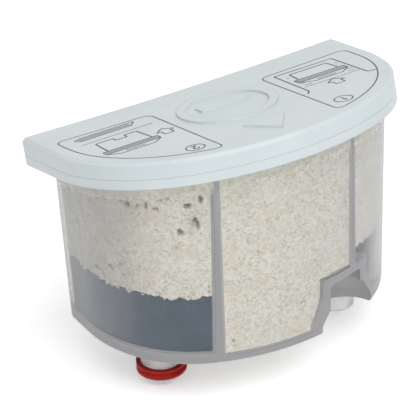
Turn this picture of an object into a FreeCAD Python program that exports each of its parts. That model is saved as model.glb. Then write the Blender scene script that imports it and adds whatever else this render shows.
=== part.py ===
import FreeCAD, Part
import math
import os
import Sketcher

# Steam iron descaling cartridge, millimetres. The origin is at the middle of the tank's underside,
# on the line between the two spigots. +X is to the outlet's side, +Y to the flat back, +Z up.

doc = FreeCAD.newDocument("descaling_cartridge")
sheet = doc.addObject("Spreadsheet::Sheet", "Sizes")

sizes = {
    # tank: a drafted D, flat at the back
    "base_width": 97.6,            # across the sides, at the underside
    "base_depth": 57.0,            # flat back to the nose of the front, at the underside
    "corner_share": 0.679,         # radius between the front and each side, as a share of the depth
    "nose_rise": 1.9,              # the broad front stands this far over the foot of those corners
    "back_radius": 6.8,            # between each side and the back
    "draft_angle": 2.1,            # the walls lean out from their foot
    "foot_chamfer": 0.8,           # edge round the underside
    "tank_wall": 1.8,
    "floor_thickness": 1.9,
    # mouth of the tank and the lid's seat, pitched up towards the front
    "seat_height": 59.6,           # over the origin
    "seat_tilt": 14.0,
    # the two partitions that make three chambers
    "partition_x": 23.1,
    "partition_top": 1.1,
    "partition_foot": 2.3,
    "partition_drop": 4.2,         # from the seat down to their top edge
    "weir_depth": 7.0,             # the inlet side's partition is that much lower still
    "slot_width": 1.0,             # flow slots in the outlet side's partition
    "slot_length": 12.0,
    "slot_pitch": 6.0,
    "slot_count": 5,
    "slot_lift": 2.5,              # over the foam's top
    # keying notch in the front wall
    "key_slot_x": 19.45,
    "key_slot_width": 12.9,
    "key_ceiling": 16.5,
    "key_ceiling_radius": 1.5,
    "key_setback": 5.4,            # from the front's nose to the axis of the slot and the flare
    "key_flare_x": 20.5,
    "key_flare_radius": 11.7,
    "key_flare_straight": 3.0,
    "key_flare_top": 11.5,
    "key_slot_wall": 2.7,          # thickness of the housing round the slot
    "key_flare_wall": 1.4,         # and round the flare
    "key_ceiling_wall": 2.5,
    # spigots
    "spigot_from_side": 17.7,      # spigot's axis to the tank's side, at the underside
    "spigot_radius": 5.8,          # the tip that enters the iron's socket
    "boss_radius": 6.3,
    "boss_foot_radius": 0.8,       # fillet between a boss and the floor
    "bore_radius": 3.5,
    "outlet_boss_length": 3.2,
    "outlet_length": 10.8,
    "inlet_boss_length": 8.5,
    "inlet_tip_length": 3.0,
    "tip_chamfer": 0.6,
    "groove_radius": 4.8,
    # red seal in the inlet spigot's groove
    "seal_height": 3.0,
    "seal_radius": 7.74,
    "seal_lip_height": 0.8,
    "seal_waist_radius": 7.0,
    "seal_side_gap": 0.05,
    # foam filters over the bores, standing on low ribs
    "rest_height": 1.7,
    "rest_width": 1.2,
    "rest_pitch": 5.6,
    "rest_count": 4,
    "foam_top": 23.7,
    "foam_key_gap": 7.1,           # from the outlet side's partition to the foam beside the notch
    "fill_gap": 0.25,              # foam and granules to the tank
    # lid, drawn in its own pitched plane: how far it reaches past the tank's mouth
    "lid_side_overhang": 4.0,
    "lid_front_overhang": 3.6,
    "lid_back_overhang": 5.15,     # at the corners of the back edge
    "lid_corner_overhang": 5.1,
    "lid_nose_rise": 2.0,
    "lid_back_bow": 2.6,           # hollow of the back edge
    "lid_back_radius": 1.6,
    "flange_height": 3.0,
    "plug_depth": 3.2,
    "plug_thickness": 1.6,
    "plug_gap": 0.12,
    "cover_height": 5.3,
    "cover_wall": 2.0,
    "cover_skin": 2.0,
    "cover_edge_chamfer": 1.0,
    "cover_rib": 1.2,
    "cover_rib_pitch": 22.0,
    "cover_rib_count": 4,
    # raised marks on the cover
    "mark_height": 0.6,
    "ring_y": 5.5,
    "ring_inner_radius": 12.7,
    "ring_outer_radius": 15.5,
    "bar_y": 8.3,
    "bar_length": 16.7,
    "bar_width": 4.45,
    "pointer_y": -17.0,
    "pointer_width": 14.0,
    "pointer_length": 11.0,
}

for row, (name, size) in enumerate(sizes.items(), 1):
    sheet.set("A%d" % row, name)
    sheet.set("B%d" % row, str(size))
    sheet.setAlias("B%d" % row, name)
doc.recompute()

reach = 200.0                      # longer than the part: tools that cut right through
near = 0.01                        # two heights closer than this are the same
half_turn = math.pi

# Sizes that follow from others
corner_radius = "corner_share * base_depth"
key_axis_y = "( base_depth / 2 - key_setback )"
spigot_x = "( base_width / 2 - spigot_from_side )"
mouth_lean = "seat_height * tan( draft_angle )"
mouth_half_depth = "( base_depth / 2 + " + mouth_lean + " )"
lid_half_width = "base_width / 2 + " + mouth_lean + " + lid_side_overhang"
lid_corner_radius = corner_radius + " + " + mouth_lean + " + lid_corner_overhang"
seat_slope = "sin( seat_tilt ) * tan( draft_angle )"
lid_front = mouth_half_depth + " / ( cos( seat_tilt ) - " + seat_slope + " ) + lid_front_overhang"
lid_back = mouth_half_depth + " / ( cos( seat_tilt ) + " + seat_slope + " ) + lid_back_overhang"


def bound(text):
    """The expression with each size's name looked up in the sheet."""
    words = []
    for word in text.replace("(", "( ").replace(")", " )").split():
        words.append("Sizes." + word if word in sizes else word)
    return " ".join(words)


def number(text):
    return float(sheet.evalExpression(text))


def bind(thing, **expressions):
    """Ties properties of a feature to the sheet."""
    for name, text in expressions.items():
        thing.setExpression(name.replace("__", "."), bound(text))
    return thing


def attached(body, name, role, lift="0"):
    """A sketch on one of its body's own planes."""
    sketch = body.newObject("Sketcher::SketchObject", name)
    origin_plane = next(plane for plane in body.Origin.OriginFeatures if plane.Role == role)
    sketch.AttachmentSupport = [(origin_plane, "")]
    sketch.MapMode = "FlatFace"
    bind(sketch, AttachmentOffset__Base__z=lift)
    return sketch


def dimension(sketch, constraint, text):
    index = sketch.addConstraint(constraint)
    sketch.setExpression("Constraints[%d]" % index, bound(text))


def arc(x, y, radius, start, end):
    circle = Part.Circle(FreeCAD.Vector(x, y, 0), FreeCAD.Vector(0, 0, 1), radius)
    return Part.ArcOfCircle(circle, start, end)


def line(x0, y0, x1, y1):
    return Part.LineSegment(FreeCAD.Vector(x0, y0, 0), FreeCAD.Vector(x1, y1, 0))


def less(text, inset):
    return "( " + text + " ) - ( " + inset + " )"


def draw_nose(sketch, half_width, front, corner, rise, inset, side_end):
    """Both sides, both corners and the broad front, drawn in by inset: lines and tangent arcs.
    The front's radius is the one that meets both corner arcs and stands rise over their foot."""
    make = Sketcher.Constraint
    spread = "( " + less(half_width, corner) + " )"
    broad_radius = spread + " ^ 2 / ( 2 * " + rise + " ) + " + corner + " + " + rise + " / 2"
    broad_centre = less(broad_radius, front)
    corner_radius = less(corner, inset)
    half_width = less(half_width, inset)
    broad_radius = less(broad_radius, inset)
    width = number(half_width)
    corner = number(corner_radius)
    broad = number(broad_radius)
    centre_y = number(broad_centre)
    corner_x = width - corner
    corner_y = centre_y - math.sqrt((broad - corner) ** 2 - corner_x ** 2)
    turn = math.atan2(corner_y - centre_y, corner_x)
    sketch.addGeometry([
        line(-width, side_end, -width, corner_y),
        arc(-corner_x, corner_y, corner, half_turn, half_turn - turn),
        arc(0, centre_y, broad, half_turn - turn, 2 * half_turn + turn),
        arc(corner_x, corner_y, corner, 2 * half_turn + turn, 2 * half_turn),
        line(width, corner_y, width, side_end),
    ], False)
    sketch.addConstraint([
        make("Vertical", 0), make("Vertical", 4),
        make("Tangent", 0, 2, 1, 1), make("Tangent", 1, 2, 2, 1),
        make("Tangent", 2, 2, 3, 1), make("Tangent", 3, 2, 4, 1),
        make("Equal", 1, 3), make("Equal", 0, 4), make("PointOnObject", 2, 3, -2),
    ])
    dimension(sketch, make("DistanceX", -1, 1, 4, 1, width), half_width)
    dimension(sketch, make("Radius", 1, corner), corner_radius)
    dimension(sketch, make("Radius", 2, broad), broad_radius)
    dimension(sketch, make("DistanceY", -1, 1, 2, 3, centre_y), broad_centre)


def drafted_core(name, inset):
    """The tank's D outline drawn in by inset at the underside and drafted up past the lid."""
    make = Sketcher.Constraint
    body = doc.addObject("PartDesign::Body", name)
    sketch = attached(body, name + "_outline", "XY_Plane")
    half_depth = less("base_depth / 2", inset)
    round_back = less("back_radius", inset)
    width = number(less("base_width / 2", inset))
    back = number(half_depth)
    small = number(round_back)
    draw_nose(sketch, "base_width / 2", "base_depth / 2", corner_radius, "nose_rise", inset, back - small)
    sketch.addGeometry([
        arc(width - small, back - small, small, 0, half_turn / 2),
        line(width - small, back, small - width, back),
        arc(small - width, back - small, small, half_turn / 2, half_turn),
    ], False)
    sketch.addConstraint([
        make("Tangent", 4, 2, 5, 1), make("Tangent", 5, 2, 6, 1), make("Tangent", 6, 2, 7, 1),
        make("Tangent", 7, 2, 0, 1), make("Equal", 5, 7),
    ])
    dimension(sketch, make("Radius", 5, small), round_back)
    dimension(sketch, make("DistanceY", -1, 1, 6, 1, back), half_depth)
    pad = body.newObject("PartDesign::Pad", name + "_pad")
    pad.Profile = sketch
    bind(pad, Length="seat_height + base_depth", TaperAngle="draft_angle")
    return body


def lid_outline(body, name, inset, lift="0"):
    """The lid's outline drawn in by inset, in the lid's own plane: hollow back edge, round front."""
    make = Sketcher.Constraint
    sketch = attached(body, name, "XY_Plane", lift)
    bow_radius = "( ( " + lid_half_width + " ) ^ 2 + lid_back_bow ^ 2 ) / ( 2 * lid_back_bow )"
    bow_centre = lid_back + " - lid_back_bow + " + bow_radius
    inset_bow_radius = bow_radius + " + ( " + inset + " )"
    width = number(less(lid_half_width, inset))
    radius = number(inset_bow_radius)
    centre_y = number(bow_centre)
    corner_y = centre_y - math.sqrt(radius ** 2 - width ** 2)
    spread = math.asin(width / radius)
    draw_nose(sketch, lid_half_width, lid_front, lid_corner_radius, "lid_nose_rise", inset, corner_y)
    sketch.addGeometry([arc(0, centre_y, radius, 1.5 * half_turn - spread, 1.5 * half_turn + spread)], False)
    sketch.addConstraint([
        make("Coincident", 5, 2, 4, 2), make("Coincident", 5, 1, 0, 1), make("PointOnObject", 5, 3, -2),
    ])
    dimension(sketch, make("Radius", 5, radius), inset_bow_radius)
    dimension(sketch, make("DistanceY", -1, 1, 5, 3, centre_y), bow_centre)
    return sketch


def pad(body, name, sketch, length):
    feature = body.newObject("PartDesign::Pad", name)
    feature.Profile = sketch
    bind(feature, Length=length)
    return feature


def dressed(body, kind, name, chosen):
    """A fillet or chamfer on those edges of the body's last feature that chosen picks."""
    doc.recompute()
    base = body.Tip
    feature = body.newObject("PartDesign::" + kind, name)
    feature.Base = (base, ["Edge%d" % (i + 1) for i, edge in enumerate(base.Shape.Edges) if chosen(edge)])
    return feature


def rounded(body, name, radius, chosen):
    return bind(dressed(body, "Fillet", name, chosen), Radius=radius)


def eased(body, name, size, chosen):
    return bind(dressed(body, "Chamfer", name, chosen), Size=size)


def block(name, x, y, z, length, width, height):
    """A box by its lowest corner and its sides, all as expressions."""
    box = doc.addObject("Part::Box", name)
    return bind(box, Placement__Base__x=x, Placement__Base__y=y, Placement__Base__z=z,
                Length=length, Width=width, Height=height)


def rod(name, x, y, z, radius, height):
    cylinder = doc.addObject("Part::Cylinder", name)
    return bind(cylinder, Placement__Base__x=x, Placement__Base__y=y, Placement__Base__z=z,
                Radius=radius, Height=height)


def joined(name, things):
    fuse = doc.addObject("Part::MultiFuse", name)
    fuse.Shapes = things
    return fuse


def shared(name, things):
    common = doc.addObject("Part::MultiCommon", name)
    common.Shapes = things
    return common


def cut(name, base, tool):
    feature = doc.addObject("Part::Cut", name)
    feature.Base = base
    feature.Tool = tool
    return feature


def back_corner(edge):
    """An upright edge where a lid outline's side meets its back."""
    low, high = edge.Vertexes[0].Point, edge.Vertexes[-1].Point
    upright = abs(low.x - high.x) < near and abs(low.y - high.y) < near
    return upright and low.y > number(lid_back) / 2


def pitched(thing, lift="0"):
    """Lays a thing drawn flat into the seat's plane, raised along the plane's normal."""
    thing.Placement = FreeCAD.Placement(FreeCAD.Vector(), FreeCAD.Rotation(FreeCAD.Vector(1, 0, 0), -1))
    return bind(thing, Placement__Rotation__Angle="0 - seat_tilt",
                Placement__Base__y="( " + lift + " ) * sin( seat_tilt )",
                Placement__Base__z="seat_height + ( " + lift + " ) * cos( seat_tilt )")


def above_seat(name, drop):
    """Everything higher than drop below the seat, as a tool to cut away."""
    body = doc.addObject("PartDesign::Body", name)
    sketch = attached(body, name + "_square", "XY_Plane")
    sketch.addGeometry([line(-reach, -reach, reach, -reach), line(reach, -reach, reach, reach),
                        line(reach, reach, -reach, reach), line(-reach, reach, -reach, -reach)], False)
    pad(body, name + "_pad", sketch, "base_depth * 2")
    return pitched(body, "0 - ( " + drop + " )")


def revolved(name, corners, x, y):
    """A turned piece: corners are (radius, height) expressions, turned about an upright axis."""
    body = doc.addObject("PartDesign::Body", name)
    sketch = attached(body, name + "_profile", "XZ_Plane")
    make = Sketcher.Constraint
    points = [(number(radius), number(height)) for radius, height in corners]
    count = len(points)
    sketch.addGeometry([line(*points[i], *points[(i + 1) % count]) for i in range(count)], False)
    for i, (radius, height) in enumerate(corners):
        sketch.addConstraint(make("Coincident", i, 2, (i + 1) % count, 1))
    for i, (radius, height) in enumerate(corners):
        for kind, text, value in (("DistanceX", radius, points[i][0]), ("DistanceY", height, points[i][1])):
            if text == "0":
                sketch.addConstraint(make("PointOnObject", i, 1, -2 if kind == "DistanceX" else -1))
            elif value < 0:
                dimension(sketch, make(kind, i, 1, -1, 1, -value), "0 - ( " + text + " )")
            else:
                dimension(sketch, make(kind, -1, 1, i, 1, value), text)
    turn = body.newObject("PartDesign::Revolution", name + "_turn")
    turn.Profile = sketch
    turn.ReferenceAxis = (sketch, ["V_Axis"])
    turn.Angle = 360
    bind(body, Placement__Base__x=x, Placement__Base__y=y)
    return body


# Keying notch: an upright slot with a round back over a round flare at the underside

def key_form(name, slot_extra, flare_extra, ceiling_extra):
    """The notch grown by a wall: its own space, its housing, or the room that the housing takes."""
    slot_radius = "key_slot_width / 2 + ( " + slot_extra + " )"
    ceiling = "key_ceiling + ( " + ceiling_extra + " )"
    flare_radius = "key_flare_radius + ( " + flare_extra + " )"
    straight_top = "key_flare_straight + ( " + flare_extra + " )"
    flare_top = "key_flare_top + ( " + flare_extra + " )"
    slot = doc.addObject("PartDesign::Body", name + "_slot")
    sketch = attached(slot, name + "_arch", "XY_Plane")
    make = Sketcher.Constraint
    radius = number(slot_radius)
    past_front = "base_depth - " + key_axis_y
    run = number(past_front)
    sketch.addGeometry([arc(0, 0, radius, 0, half_turn), line(-radius, 0, -radius, -run),
                        line(-radius, -run, radius, -run), line(radius, -run, radius, 0)], False)
    sketch.addConstraint([
        make("Coincident", 0, 3, -1, 1), make("Tangent", 0, 2, 1, 1), make("Tangent", 0, 1, 3, 2),
        make("Coincident", 1, 2, 2, 1), make("Coincident", 2, 2, 3, 1), make("Horizontal", 2),
        make("Vertical", 1), make("Vertical", 3),
    ])
    dimension(sketch, make("Radius", 0, radius), slot_radius)
    dimension(sketch, make("DistanceY", 1, 2, 1, 1, run), past_front)
    pad(slot, name + "_rise", sketch, ceiling)
    bind(slot, Placement__Base__x="key_slot_x", Placement__Base__y="0 - " + key_axis_y)
    flare = revolved(name + "_flare", [
        ("0", "0"), (flare_radius, "0"), (flare_radius, straight_top),
        (slot_radius, flare_top), ("0", flare_top),
    ], "key_flare_x", "0 - " + key_axis_y)
    return joined(name, [slot, flare])


key_space = key_form("key_space", "0", "0", "0")
slot_top = number("key_ceiling")
slot_front = number(key_axis_y + " - base_depth")
rounded(doc.key_space_slot, "key_ceiling_edge", "key_ceiling_radius",
        lambda edge: min(v.Z for v in edge.Vertexes) > slot_top - near
        and max(v.Y for v in edge.Vertexes) > slot_front + near)
key_housing = key_form("key_housing", "key_slot_wall", "key_flare_wall", "key_ceiling_wall")
key_room = key_form("key_room", "key_slot_wall + fill_gap", "key_flare_wall + fill_gap",
                    "key_ceiling_wall + fill_gap")


# Partitions: slabs that taper up from the floor to the seat's highest point

partition_height = "seat_height + ( " + lid_front + " ) * sin( seat_tilt )"


def partition(name, x, drop):
    body = doc.addObject("PartDesign::Body", name + "_slab")
    sketch = attached(body, name + "_section", "XZ_Plane")
    make = Sketcher.Constraint
    foot = number("partition_foot / 2")
    top = number("partition_top / 2")
    height = number(partition_height)
    sketch.addGeometry([line(-foot, 0, foot, 0), line(foot, 0, top, height),
                        line(top, height, -top, height), line(-top, height, -foot, 0)], False)
    sketch.addConstraint([
        make("Coincident", 0, 2, 1, 1), make("Coincident", 1, 2, 2, 1), make("Coincident", 2, 2, 3, 1),
        make("Coincident", 3, 2, 0, 1), make("Symmetric", 0, 1, 0, 2, -1, 1), make("Horizontal", 0),
        make("Symmetric", 2, 1, 2, 2, -2),
    ])
    dimension(sketch, make("DistanceX", 0, 1, 0, 2, 2 * foot), "partition_foot")
    dimension(sketch, make("DistanceX", 2, 2, 2, 1, 2 * top), "partition_top")
    dimension(sketch, make("DistanceY", 0, 1, 2, 1, height), partition_height)
    slab = pad(body, name + "_pad", sketch, "base_depth * 2")
    slab.Midplane = True
    bind(body, Placement__Base__x=x)
    return cut(name, body, above_seat(name + "_trim", drop))


inlet_partition = partition("inlet_partition", "0 - partition_x", "partition_drop + weir_depth")
outlet_wall = partition("outlet_wall", "partition_x", "partition_drop")
slots = []
for i in range(int(sizes["slot_count"])):
    slots.append(block("flow_slot_%d" % (i + 1), "partition_x - partition_foot",
                       "( %d - ( slot_count - 1 ) / 2 ) * slot_pitch - slot_width / 2" % i,
                       "foam_top + slot_lift", "2 * partition_foot", "slot_width", "slot_length"))
outlet_partition = cut("outlet_partition", outlet_wall, joined("flow_slots", slots))


# Ribs on the floor that hold the foam off it, one pair of them across the bores

rests = []
for side, sign in (("inlet", "0 - "), ("outlet", "")):
    for i in range(int(sizes["rest_count"])):
        place = "( %s + ( %d ) * rest_pitch )" % (spigot_x, i - 1)
        rests.append(block("%s_rest_%d" % (side, i + 1), sign + place + " - rest_width / 2",
                           "0 - base_depth", "0", "rest_width", "2 * base_depth",
                           "floor_thickness + rest_height"))
foam_rests = joined("foam_rests", rests)


# Tank: the drafted outside less the three chambers, with the notch, the pitched mouth and the spigots

root_height = "floor_thickness / 2"
tip_bevel = "spigot_radius - tip_chamfer"
outlet_spigot = revolved("outlet_spigot", [
    ("0", root_height), ("boss_radius + boss_foot_radius", root_height),
    ("boss_radius + boss_foot_radius", "0"), ("boss_radius", "0 - boss_foot_radius"),
    ("boss_radius", "0 - outlet_boss_length"), ("spigot_radius", "0 - outlet_boss_length"),
    ("spigot_radius", "0 - ( outlet_length - tip_chamfer )"), (tip_bevel, "0 - outlet_length"),
    ("0", "0 - outlet_length"),
], spigot_x, "0")

groove_height = "seal_height + 2 * seal_side_gap"
groove_end = "inlet_boss_length + " + groove_height
inlet_end = groove_end + " + inlet_tip_length"
inlet_spigot = revolved("inlet_spigot", [
    ("0", root_height), ("boss_radius + boss_foot_radius", root_height),
    ("boss_radius + boss_foot_radius", "0"), ("boss_radius", "0 - boss_foot_radius"),
    ("boss_radius", "0 - inlet_boss_length"), ("groove_radius", "0 - inlet_boss_length"),
    ("groove_radius", "0 - ( " + groove_end + " )"), ("spigot_radius", "0 - ( " + groove_end + " )"),
    ("spigot_radius", "0 - ( " + inlet_end + " - tip_chamfer )"), (tip_bevel, "0 - ( " + inlet_end + " )"),
    ("0", "0 - ( " + inlet_end + " )"),
], "0 - " + spigot_x, "0")

bores = joined("bores", [
    rod("inlet_bore", "0 - " + spigot_x, "0", "0 - ( " + inlet_end + " ) - 1", "bore_radius",
        inlet_end + " + 1 + floor_thickness"),
    rod("outlet_bore", spigot_x, "0", "0 - outlet_length - 1", "bore_radius",
        "outlet_length + 1 + floor_thickness"),
])

tank_outside = drafted_core("tank_outside", "0")
eased(tank_outside, "foot_edge", "foot_chamfer", lambda edge: max(v.Z for v in edge.Vertexes) < near)
tank_inside = drafted_core("tank_inside", "tank_wall")
floor_slab = block("floor_slab", "0 - base_width", "0 - base_depth", "0 - 1", "2 * base_width",
                   "2 * base_depth", "1 + floor_thickness")
furniture = joined("furniture", [floor_slab, inlet_partition, outlet_partition, foam_rests, key_housing])
chambers = cut("chambers", tank_inside, furniture)
walls = cut("walls", tank_outside, chambers)
keyed = cut("keyed", walls, key_space)
mouthed = cut("mouthed", keyed, above_seat("mouth_trim", "0"))
spouted = joined("spouted", [mouthed, inlet_spigot, outlet_spigot])
tank = cut("tank", spouted, bores)


# Seal: two lips round a waist, in the groove of the inlet spigot

seal_top = "0 - inlet_boss_length - seal_side_gap"
seal_foot = seal_top + " - seal_height"
seal_bore = "groove_radius + seal_side_gap"
seal_ring = revolved("seal_ring", [
    (seal_bore, seal_top), ("seal_radius", seal_top), ("seal_radius", seal_top + " - seal_lip_height"),
    ("seal_waist_radius", seal_top + " - seal_height / 2"),
    ("seal_radius", seal_foot + " + seal_lip_height"), ("seal_radius", seal_foot), (seal_bore, seal_foot),
], "0 - " + spigot_x, "0")


# Foam filters and granules: the chambers' own form, drawn in by the gap

def filling(name, low_x, high_x, low_z, high_z):
    """What fills a chamber between two upright planes and two heights."""
    core = drafted_core(name + "_core", "tank_wall + fill_gap")
    space = block(name + "_space", low_x, "0 - base_depth", low_z, high_x + " - ( " + low_x + " )",
                  "2 * base_depth", high_z + " - ( " + low_z + " )")
    return shared(name + "_form", [core, space])


inner_face = "partition_x - partition_foot / 2 - fill_gap"
outer_face = "partition_x + partition_foot / 2 + fill_gap"
rest_top = "floor_thickness + rest_height"
fill_foot = "foam_top + fill_gap"
fill_top = "seat_height + base_depth / 2"

filter_left = filling("filter_left", "0 - base_width", "0 - ( " + outer_face + " )", rest_top, "foam_top")
foam_relief = block("foam_relief", "0", "0 - base_depth", "0",
                    "partition_x + partition_foot / 2 + foam_key_gap",
                    "base_depth - " + key_axis_y + " + key_flare_radius + key_flare_wall + fill_gap",
                    "foam_top + 1")
filter_right = cut("filter_right", filling("filter_right", outer_face, "base_width", rest_top, "foam_top"),
                   joined("filter_right_room", [foam_relief, key_room]))
resin_left = cut("resin_left", filling("resin_left", "0 - base_width", "0 - ( " + outer_face + " )",
                                       fill_foot, fill_top),
                 above_seat("resin_left_trim", "partition_drop"))
resin_right = cut("resin_right", filling("resin_right", outer_face, "base_width", fill_foot, fill_top),
                  above_seat("resin_right_trim", "partition_drop"))
middle_form = filling("resin_middle", "0 - ( " + inner_face + " )", inner_face,
                      "floor_thickness + fill_gap", fill_top)
resin_middle = cut("resin_middle", cut("resin_middle_keyed", middle_form, key_room),
                   above_seat("resin_middle_trim", "partition_drop"))


# Lid base: a flange on the seat and a plug in the tank's mouth

flange = doc.addObject("PartDesign::Body", "flange")
pad(flange, "flange_pad", lid_outline(flange, "flange_outline", "0"), "flange_height")
rounded(flange, "flange_corners", "lid_back_radius", back_corner)
pitched(flange)

plug_wall = cut("plug_wall", drafted_core("plug_outside", "tank_wall + plug_gap"),
                drafted_core("plug_inside", "tank_wall + plug_gap + plug_thickness"))
plug_above = above_seat("plug_above", "0")
plug_reach = above_seat("plug_reach", "plug_depth")
plug = cut("plug", shared("plug_slice", [plug_wall, plug_reach]), plug_above)
lid_base = joined("lid_base", [flange, plug])


# Lid cover: a cap with an eased edge, ribbed inside, with raised marks on top

def raised(body, name, draw):
    """A mark that stands on the cover's top."""
    sketch = attached(body, name, "XY_Plane", "cover_height - mark_height")
    draw(sketch)
    return pad(body, name + "_pad", sketch, "2 * mark_height")


def draw_ring(sketch):
    make = Sketcher.Constraint
    normal = FreeCAD.Vector(0, 0, 1)
    centre = FreeCAD.Vector(0, number("ring_y"), 0)
    for i, text in enumerate(("ring_outer_radius", "ring_inner_radius")):
        sketch.addGeometry(Part.Circle(centre, normal, number(text)), False)
        sketch.addConstraint(make("PointOnObject", i, 3, -2))
        dimension(sketch, make("DistanceY", -1, 1, i, 3, centre.y), "ring_y")
        dimension(sketch, make("Radius", i, number(text)), text)


def draw_bar(sketch):
    make = Sketcher.Constraint
    half = number("bar_length / 2")
    low = number("bar_y - bar_width / 2")
    high = number("bar_y + bar_width / 2")
    sketch.addGeometry([line(-half, low, half, low), line(half, low, half, high),
                        line(half, high, -half, high), line(-half, high, -half, low)], False)
    sketch.addConstraint([
        make("Coincident", 0, 2, 1, 1), make("Coincident", 1, 2, 2, 1), make("Coincident", 2, 2, 3, 1),
        make("Coincident", 3, 2, 0, 1), make("Vertical", 1), make("Horizontal", 2), make("Vertical", 3),
        make("Symmetric", 0, 1, 0, 2, -2),
    ])
    dimension(sketch, make("DistanceX", 0, 1, 0, 2, 2 * half), "bar_length")
    dimension(sketch, make("DistanceY", 1, 1, 1, 2, high - low), "bar_width")
    dimension(sketch, make("DistanceY", -1, 1, 0, 1, low), "bar_y - bar_width / 2")


def draw_pointer(sketch):
    make = Sketcher.Constraint
    half = number("pointer_width / 2")
    back = number("pointer_y")
    tip = number("pointer_y - pointer_length")
    sketch.addGeometry([line(-half, back, 0, tip), line(0, tip, half, back),
                        line(half, back, -half, back)], False)
    sketch.addConstraint([
        make("Coincident", 0, 2, 1, 1), make("Coincident", 1, 2, 2, 1), make("Coincident", 2, 2, 0, 1),
        make("PointOnObject", 0, 2, -2), make("Symmetric", 2, 1, 2, 2, -2),
    ])
    dimension(sketch, make("DistanceX", 2, 2, 2, 1, 2 * half), "pointer_width")
    dimension(sketch, make("DistanceY", 1, 1, 1, 2, back - tip), "pointer_length")
    dimension(sketch, make("DistanceY", 2, 1, -1, 1, -back), "0 - pointer_y")


cap = doc.addObject("PartDesign::Body", "cover_cap")
pad(cap, "cap_pad", lid_outline(cap, "cap_outline", "0"), "cover_height")
rounded(cap, "cap_corners", "lid_back_radius", back_corner)
cover_top = number("cover_height")
eased(cap, "cap_edge", "cover_edge_chamfer",
      lambda edge: min(v.Z for v in edge.Vertexes) > cover_top - near)
raised(cap, "ring_mark", draw_ring)
raised(cap, "bar_mark", draw_bar)
raised(cap, "pointer_mark", draw_pointer)
pitched(cap, "flange_height")

cover_hollow = doc.addObject("PartDesign::Body", "cover_hollow")
pad(cover_hollow, "cover_hollow_pad", lid_outline(cover_hollow, "cover_hollow_outline", "cover_wall"),
    "cover_height - cover_skin")
pitched(cover_hollow, "flange_height")

ribs = []
for i in range(int(sizes["cover_rib_count"])):
    slab = doc.addObject("PartDesign::Body", "cover_rib_%d_slab" % (i + 1))
    place = "( %d - ( cover_rib_count - 1 ) / 2 ) * cover_rib_pitch" % i
    ribs.append(slab)
    rib_box = slab.newObject("PartDesign::AdditiveBox", "cover_rib_%d_box" % (i + 1))
    bind(rib_box, Length="cover_rib", Width="2 * base_width", Height="cover_height",
         Placement__Base__x=place + " - cover_rib / 2", Placement__Base__y="0 - base_width")
    pitched(slab, "flange_height")
cover_ribs = joined("cover_ribs", ribs)
lid_cover = cut("lid_cover", cap, cut("cover_cells", cover_hollow, cover_ribs))

doc.recompute()


# Each sub-part under its own name

sub_parts = {
    "tank": tank,
    "lid_base": lid_base,
    "lid_cover": lid_cover,
    "filter_left": filter_left,
    "filter_right": filter_right,
    "resin_left": resin_left,
    "resin_middle": resin_middle,
    "resin_right": resin_right,
    "seal_ring": seal_ring,
}
for label, thing in sub_parts.items():
    thing.Label = label

for thing in doc.Objects:
    if "Invalid" in thing.State or "Error" in thing.State:
        raise RuntimeError("%s is %s" % (thing.Name, thing.State))
for label, thing in sub_parts.items():
    if thing.Shape.isNull() or not thing.Shape.isValid():
        raise RuntimeError("%s has no valid shape" % label)

os.makedirs("parts", exist_ok=True)
for label, thing in sub_parts.items():
    thing.Shape.exportStep("parts/%s.step" % label)
    print(label, "solids", len(thing.Shape.Solids), "volume", round(thing.Shape.Volume, 1))
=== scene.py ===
import math
import bpy
import numpy as np
from mathutils import Matrix, Vector


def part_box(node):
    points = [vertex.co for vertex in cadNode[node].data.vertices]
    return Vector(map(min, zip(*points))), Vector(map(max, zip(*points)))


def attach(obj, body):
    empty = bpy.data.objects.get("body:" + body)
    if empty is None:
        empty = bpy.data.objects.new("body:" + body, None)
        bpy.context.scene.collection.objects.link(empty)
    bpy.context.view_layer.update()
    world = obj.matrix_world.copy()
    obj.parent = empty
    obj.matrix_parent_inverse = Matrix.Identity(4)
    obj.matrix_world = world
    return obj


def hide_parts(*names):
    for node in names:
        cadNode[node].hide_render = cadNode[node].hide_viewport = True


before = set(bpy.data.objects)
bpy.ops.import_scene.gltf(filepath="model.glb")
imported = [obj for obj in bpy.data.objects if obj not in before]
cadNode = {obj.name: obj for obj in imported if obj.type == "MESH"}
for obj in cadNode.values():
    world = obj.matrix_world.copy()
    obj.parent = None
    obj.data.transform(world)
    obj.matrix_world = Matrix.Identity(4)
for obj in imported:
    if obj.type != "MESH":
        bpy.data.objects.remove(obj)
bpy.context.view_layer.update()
mm = 0.001                       # sizes below are in millimetres, the studio's in metres
tiny = 1e-9                      # keeps a division safe from a zero length
print("frame loaded:", len(cadNode), "nodes")


# Forms that the pieces share: the tank's drafted D and the lid's pitched plane

tankForm = {
    "halfWidth": 48.8,           # at the underside
    "halfDepth": 28.5,
    "frontRadius": 66.4,
    "cornerRadius": 38.7,
    "backRadius": 6.8,
    "cornerSteps": 12,           # points round a back corner
    "draft": math.tan(math.radians(2.1)),
    "seatHeight": 59.6,
    "pitch": math.radians(14.0),
    "partitionX": 23.1,
    "partitionFoot": 2.3,        # thickness at the floor
    "partitionTop": 1.1,
    "foamTop": 23.7,
    "keyCentre": (19.45, -23.1),
    "keyRadius": 9.15,           # the notch's housing, outside
    "flareCentre": (20.5, -23.1),
    "flareRadius": 13.1,
    "flareStraight": 4.4,
    "flareTop": 12.9,
    "keyTop": 19.0,
}

lidForm = {
    "halfWidth": 55.0,
    "back": 36.5,                # corner of the back edge, in the lid's own plane
    "front": 35.5,
    "backBow": 2.6,
    "backSteps": 120,            # points along the back edge
    "frontRadius": 67.4,
    "cornerRadius": 46.0,
    "top": 8.3,                  # flange and cover together
}


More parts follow.
